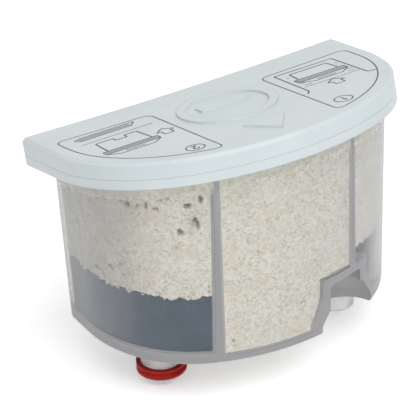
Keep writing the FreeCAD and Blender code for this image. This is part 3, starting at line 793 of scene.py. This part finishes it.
granuleFills = {
    "granulesLeft": {
        "node": "resin_left", "lowX": -farX, "highX": -outerX, "foot": 23.35, "ragged": 1.0,
        "inset": 1.88, "top": topUnderLid(fillDrop), "step": 0.36, "capRows": 24,
        "beads": 0.95, "beadDepth": 0.34, "clumps": 0.4, "lumps": 0.4, "hollow": looseTop,
        "leftEndShade": 0.15, "seed": 11},
    "granulesMiddle": {
        "node": "resin_middle", "lowX": -innerX, "highX": innerX, "foot": 2.1, "ragged": 0,
        "inset": 1.88, "top": topUnderLid(fillDrop), "step": 0.44, "capRows": 30,
        "beads": 0.9, "beadDepth": 0.3, "clumps": 0.25, "lumps": 0.2, "hollow": packed,
        "leftEndShade": 0, "seed": 23},
    "granulesRight": {
        "node": "resin_right", "lowX": outerX, "highX": farX, "foot": 23.35, "ragged": 0.9,
        "inset": 1.88, "top": topUnderLid(fillDrop), "step": 0.4, "capRows": 24,
        "beads": 0.9, "beadDepth": 0.28, "clumps": 0.25, "lumps": 0.3, "hollow": packed,
        "leftEndShade": 0, "seed": 37},
}


# Beads: each point sinks by the square of its distance from the nearest bead's middle, and more where
# clumps, lumps and pits fall
def granuleFill(name, settings):
    form = reliefForm
    points, outward, quads, triangles = closedFill(settings)
    seed = settings["seed"]
    near, second = beadNoise(points, settings["beads"], seed)
    seam = np.clip(1 - (second - near) * form["seamSlope"], 0, 1)
    clump = layeredNoise(points, form["clumps"], seed + 1)
    pit = layeredNoise(points, form["pits"], seed + 3)
    pit = np.clip((pit + settings["hollow"](points) - 1) * form["pitSlope"], 0, 1)
    lump = np.clip(0.5 + layeredNoise(points, form["lumps"], seed + 6), 0, 1)
    sink = settings["beadDepth"] * near ** 2 + settings["clumps"] * np.clip(clump, 0, 1)
    sink = sink + settings["lumps"] * lump + form["pitDepth"] * pit
    toSlab = np.minimum(points[:, 0] - settings["lowX"], settings["highX"] - points[:, 0])
    sink = sink * np.clip(toSlab / form["slabRoom"], 0, 1)
    leftEndShade = np.clip((-points[:, 0] - form["leftShadeFrom"]) / form["leftShadeOver"], 0, 1)
    # Painted shade: darker in the pits, in the seams between beads, in the lumps, and over the left end
    paintedShade = pit + form["seamShade"] * seam * near + settings["lumps"] * form["lumpShade"] * lump
    points = points - outward * sink[:, None]
    if name == "granulesMiddle":
        points = awayFromKey(points, form["keyRoom"])
    piece = newPiece(name, points, quads, triangles)
    addPaintedShade(piece, paintedShade + settings["leftEndShade"] * leftEndShade)
    piece.data.materials.append(granules)
    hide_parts(settings["node"])
    return piece


for fillName, fillSettings in granuleFills.items():
    fill = granuleFill(fillName, fillSettings)
    print(fillName, len(fill.data.polygons), "faces")


foamForm = {
    "foot": 3.65,
    "inset": 2.2,
    "step": 0.6,
    "capRows": 16,
    "pores": 0.9,
    "poreDepth": 0.12,
    "wander": 7.0,
    "wanderDepth": 0.15,
    "wanderBias": 0.4,
    "corner": (31.3, -9.8),      # the right block is cut back beside the notch: x, y
}
foamBlocks = {
    "foamLeft": {"node": "filter_left", "lowX": -farX, "highX": -outerX, "seed": 51},
    "foamRight": {"node": "filter_right", "lowX": outerX, "highX": farX, "seed": 57},
}


# A cut block: its faces wander a little and its pores roughen them
def foamBlock(name, settings):
    form = foamForm
    block = {**form, **settings, "top": levelTop(tankForm["foamTop"])}
    points, outward, quads, triangles = closedFill(block)
    if name == "foamRight":
        x, y = form["corner"]
        behind = (points[:, 0] < x) & (points[:, 1] < y)
        points[:, 1] = np.where(behind, y, points[:, 1])
    seed = settings["seed"]
    near, second = beadNoise(points, form["pores"], seed)
    wander = np.clip(softNoise(points, form["wander"], seed + 1) + form["wanderBias"], 0, 1)
    sink = form["poreDepth"] * near + form["wanderDepth"] * wander
    piece = newPiece(name, points - outward * sink[:, None], quads, triangles)
    piece.data.materials.append(foamMatter)
    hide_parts(settings["node"])
    return piece


for blockName, blockSettings in foamBlocks.items():
    foamBlock(blockName, blockSettings)
print("foam blocks made")


# Print on the lid: thin ribbons of ink a hair above the cover

printForm = {
    "height": 0.03,              # over the cover's top
    "thickness": 0.05,
    "outline": 0.42,             # line widths
    "figure": 0.5,
    "fine": 0.26,
    "inset": 4.6,                # panel to the lid's edge
    "innerX": 19.3,
    "backGap": 14.3,             # panel to the back edge
    "round": 6.5,                # length over which a panel's corner is softened
    "figureRound": 1.2,
    "arrowRound": 0.4,
    "number": (25.3, -20.5, 2.83),   # its circle's place and radius
    "digit": 1.5,                # half its height
    "circleSteps": 48,
    "strokeSteps": 12,
}


# A flat band with a rectangular section: the path shifted half a width to each side
def ribbon(path, width, closed=False):
    ahead = np.roll(path, -1, axis=0) if closed else np.concatenate([path[1:], path[-1:]])
    behind = np.roll(path, 1, axis=0) if closed else np.concatenate([path[:1], path[:-1]])
    tangent = ahead - behind
    tangent /= np.linalg.norm(tangent, axis=1)[:, None] + tiny
    side = np.column_stack([-tangent[:, 1], tangent[:, 0]]) * width / 2
    left, right = path + side, path - side
    low = lidForm["top"] + printForm["height"] - printForm["thickness"]
    high = lidForm["top"] + printForm["height"]
    section = ((left, low), (right, low), (right, high), (left, high))
    rows = [onLid(*edge.T, level) for edge, level in section]
    count = len(path)
    points = np.stack(rows, 1).reshape(-1, 3)
    faces = gridFaces(count + 1 if closed else count, 4)
    if closed:
        faces = faces % (4 * count)
        return points, faces
    ends = np.array([[3, 2, 1, 0], [4 * count - 4, 4 * count - 3, 4 * count - 2, 4 * count - 1]])
    return points, np.concatenate([faces, ends])


# Corners softened by a running mean over a length of the path
def rounded(path, window, step=0.2, closed=True):
    whole = np.concatenate([path, path[:1]]) if closed else path
    length = np.hypot(*np.diff(whole, axis=0).T).sum()
    count = max(int(length / step), 8)
    even = evenly(path, count, closed)
    reach = max(int(window / step / 2), 1)
    index = np.arange(count)
    total = 0
    for shift in range(-reach, reach + 1):
        moved = (index - shift) % count if closed else np.clip(index + shift, 0, count - 1)
        total = total + even[moved]
    return total / (2 * reach + 1)


# Right panel: the lid's outline drawn in, cut off at the inner side and behind the back line
def panelPath():
    form = printForm
    outline = lidOutline(form["inset"])
    x, y = outline.T
    x = np.maximum(x, form["innerX"])
    bow = lidForm["back"] - lidForm["backBow"] * (1 - (x / lidForm["halfWidth"]) ** 2)
    frontAt = lidForm["frontRadius"] - lidForm["front"]
    radius = lidForm["frontRadius"] - form["inset"]
    nose = frontAt - math.sqrt(radius ** 2 - form["innerX"] ** 2)
    y = np.clip(y, nose, bow - form["backGap"])
    return rounded(np.column_stack([x, y]), form["round"])


def arcPath(x, y, radius, start, end, count=24):
    angle = np.linspace(math.radians(start), math.radians(end), count)
    return np.column_stack([x + radius * np.cos(angle), y + radius * np.sin(angle)])


# The two numbers, drawn to be read from the back, so their tops lie towards -Y
def digitOne(x, y, size):
    stem = np.array([[x, y + size], [x, y - size]])
    flag = np.array([[x, y - size], [x + 0.55 * size, y - 0.45 * size]])
    return [stem, flag]


def digitTwo(x, y, size):
    bowl = arcPath(x, y - 0.45 * size, 0.55 * size, 10, -170, 14)
    tail = np.array([bowl[-1], [x - 0.5 * size, y - 0.1 * size], [x + 0.6 * size, y + size]])
    foot = np.array([[x + 0.6 * size, y + size], [x - 0.6 * size, y + size]])
    return [bowl, tail, foot]


blockArrow = np.array([[0, 3.0], [3.0, 0.2], [1.5, 0.2], [1.5, -2.6], [-1.5, -2.6], [-1.5, 0.2],
                       [-3.0, 0.2]])

# Generic line figures, chosen in the lid's plane: lines are (points, width, closed), filled bands
# are (points, width)
printFigures = {
    "printRight": {
        "side": 1,
        "lines": [
            ([[20.9, -7.0], [22.6, -4.8], [23.0, 17.4], [43.4, 17.4], [43.6, -4.2], [46.4, -5.0]],
             "figure", False),
            ([[26.4, 8.4], [27.0, 14.9], [40.0, 14.9], [40.4, 8.4]], "figure", False),
            ([[24.7, 5.2], [24.7, 8.0], [42.2, 8.0], [42.2, 5.2]], "outline", True),
            ([[24.7, 5.2], [29.0, 2.4], [38.6, 2.4], [42.2, 5.2]], "outline", False),
            ([[23.6, -0.4], [43.2, -0.4]], "fine", False),
            ([[24.2, 3.6], [26.4, 3.6]], "fine", False),
            ([[40.8, 3.6], [43.0, 3.6]], "fine", False),
            ([[24.6, 1.4], [27.4, 1.4]], "fine", False),
            ([[40.0, 1.4], [42.8, 1.4]], "fine", False),
            ([[24.4, 12.2], [25.8, 12.2]], "fine", False),
            ([[41.4, 12.2], [42.6, 12.2]], "fine", False),
        ],
        "bands": [([[25.0, 6.6], [41.9, 6.6]], 2.3), ([[30.4, 3.6], [37.0, 3.6]], 0.9)],
        "arrow": (33.0, -3.6),
        "digit": digitOne,
    },
    "printLeft": {
        "side": -1,
        "lines": [
            ([[-46.0, 17.6], [-44.6, 15.6], [-27.6, 15.6], [-25.4, 18.6], [-44.0, 18.6]],
             "outline", True),
            ([[-46.4, 12.0], [-22.2, 12.0]], "fine", False),
            ([[-43.6, 0.2], [-43.0, 9.4], [-37.2, 9.4], [-37.2, 7.2], [-33.4, 7.2], [-33.4, 9.4],
              [-29.2, 9.4], [-28.8, 0.2]], "figure", False),
            ([[-45.4, -2.6], [-45.4, 0.0], [-27.2, 0.0], [-27.2, -2.6]], "outline", True),
            ([[-45.4, -2.6], [-41.8, -5.4], [-30.6, -5.4], [-27.2, -2.6]], "outline", False),
        ],
        "bands": [([[-44.6, 17.1], [-27.4, 17.1]], 1.9), ([[-45.0, -1.4], [-27.6, -1.4]], 2.3),
                  ([[-39.6, -4.0], [-33.0, -4.0]], 0.9)],
        "arrow": (-23.4, 1.4),
        "digit": digitTwo,
    },
}


# One panel's outline, figure and number: dark lines in one piece and grey bands in another
def printPanel(name, figure):
    form, side = printForm, figure["side"]
    x, y, radius = form["number"]
    x = x * side
    line = form["outline"]
    circle = arcPath(x, y, radius, 0, 360, form["circleSteps"] + 1)[:-1]
    strokes = [(panelPath()[::side] * [side, 1], line, True), (circle, line, True),
               (rounded(blockArrow + figure["arrow"], form["arrowRound"]), line, True)]
    for points, width, closed in figure["lines"]:
        strokes.append((rounded(np.array(points), form["figureRound"], closed=closed), form[width], closed))
    for path in figure["digit"](x, y, form["digit"]):
        strokes.append((evenly(path, form["strokeSteps"], closed=False), form["figure"], False))
    bands = [(np.array(points), width, False) for points, width in figure["bands"]]
    for part, shapes, matter in ((name, strokes, ink), (name + "Tone", bands, paleInk)):
        made = [ribbon(path, width, closed) for path, width, closed in shapes]
        starts = np.cumsum([0] + [len(points) for points, faces in made])
        faces = np.concatenate([faces + start for (points, faces), start in zip(made, starts)])
        piece = newPiece(part, np.concatenate([points for points, faces in made]), faces, smooth=False)
        piece.data.materials.append(matter)


for panelName, panelFigure in printFigures.items():
    printPanel(panelName, panelFigure)
print("print made")


# Camera at the photograph's place

cameraFit = {
    "azimuth": math.radians(-28.7),
    "elevation": math.radians(31.32),
    "roll": math.radians(-2.82),
    "focal": 3921.02,            # in pixels of the frame
    "frame": 420,
    "sensor": 36,
    "clip": (0.05, 20),
    "distance": 1186.67,
    "target": (-7.41, 7.84, 32.14),
}


# Looks from the target backwards along azimuth and elevation, then rolls about that line
def placeCamera():
    fit = cameraFit
    azimuth, elevation, roll = fit["azimuth"], fit["elevation"], fit["roll"]
    back = Vector((math.sin(azimuth) * math.cos(elevation), -math.cos(azimuth) * math.cos(elevation),
                   math.sin(elevation)))
    level = Vector((math.cos(azimuth), math.sin(azimuth), 0))
    up = back.cross(level)
    right = level * math.cos(roll) + up * math.sin(roll)
    up = up * math.cos(roll) - level * math.sin(roll)
    data = bpy.data.cameras.new("camera")
    data.sensor_width = fit["sensor"]
    data.lens = fit["focal"] * fit["sensor"] / fit["frame"]
    data.clip_start, data.clip_end = fit["clip"]
    camera = bpy.data.objects.new("camera", data)
    turn = Matrix((right, up, back)).transposed().to_4x4()
    camera.matrix_world = Matrix.Translation((Vector(fit["target"]) + back * fit["distance"]) * mm) @ turn
    bpy.context.scene.collection.objects.link(camera)
    bpy.context.scene.camera = camera


placeCamera()


# Studio: a pale floor, a bright even surround and two soft lamps

studio = {
    "floor": colour(246, 246, 246),
    "floorReach": 6.0,
    "floorRoughness": 0.9,
    "floorGloss": 0.1,
    "floorGlow": 0.36,           # brings the lit floor to white in the picture, not on the object
    "surround": 0.54,
    "aim": (0, 0, 0.03),
    "lamps": [
        {"name": "keyLamp", "at": (0.0, -0.48, 1.0), "size": 0.8, "watts": 6.4},
        {"name": "fillLamp", "at": (-0.55, -0.75, 0.45), "size": 0.6, "watts": 1.2},
    ],
}


# 1 for what the camera sees straight, in a gloss or through clear plastic, else 0
def seenDirectly(tree):
    ray = addNode(tree, "ShaderNodeLightPath").outputs
    shiny = calc(tree, "MAXIMUM", ray["Is Glossy Ray"], ray["Is Transmission Ray"])
    return calc(tree, "MAXIMUM", ray["Is Camera Ray"], shiny)


def makeFloor():
    form = studio
    low = min(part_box(name)[0].z for name in cadNode)
    reach = form["floorReach"]
    corners = [(-reach, -reach, low), (reach, -reach, low), (reach, reach, low), (-reach, reach, low)]
    mesh = bpy.data.meshes.new("floor")
    mesh.from_pydata(corners, [], [(0, 1, 2, 3)])
    floor = bpy.data.objects.new("floor", mesh)
    bpy.context.scene.collection.objects.link(floor)
    material, tree, shader, output = newMaterial("paleFloor")
    shader.inputs["Base Color"].default_value = form["floor"]
    shader.inputs["Roughness"].default_value = form["floorRoughness"]
    shader.inputs["Specular IOR Level"].default_value = form["floorGloss"]
    shader.inputs["Emission Color"].default_value = (1, 1, 1, 1)
    glow = calc(tree, "MULTIPLY", seenDirectly(tree), form["floorGlow"])
    tree.links.new(glow, shader.inputs["Emission Strength"])
    mesh.materials.append(material)


# White where it is seen, dimmer where it only lights the object
def makeSurround():
    world = bpy.data.worlds.new("surround")
    bpy.context.scene.world = world
    world.use_nodes = True
    tree = world.node_tree
    background = tree.nodes["Background"]
    strength = carried(tree, seenDirectly(tree), (0, 1), (studio["surround"], 1))
    tree.links.new(strength, background.inputs["Strength"])
    background.inputs["Color"].default_value = (1, 1, 1, 1)


def makeLamp(settings):
    data = bpy.data.lights.new(settings["name"], "AREA")
    data.size = settings["size"]
    data.energy = settings["watts"]
    lamp = bpy.data.objects.new(settings["name"], data)
    lamp.location = settings["at"]
    way = Vector(studio["aim"]) - Vector(settings["at"])
    lamp.rotation_euler = way.to_track_quat("-Z", "Y").to_euler()
    bpy.context.scene.collection.objects.link(lamp)


makeFloor()
makeSurround()
for lampSettings in studio["lamps"]:
    makeLamp(lampSettings)
bpy.context.scene.view_settings.view_transform = "Standard"
print("camera and studio placed")

bpy.context.view_layer.update()
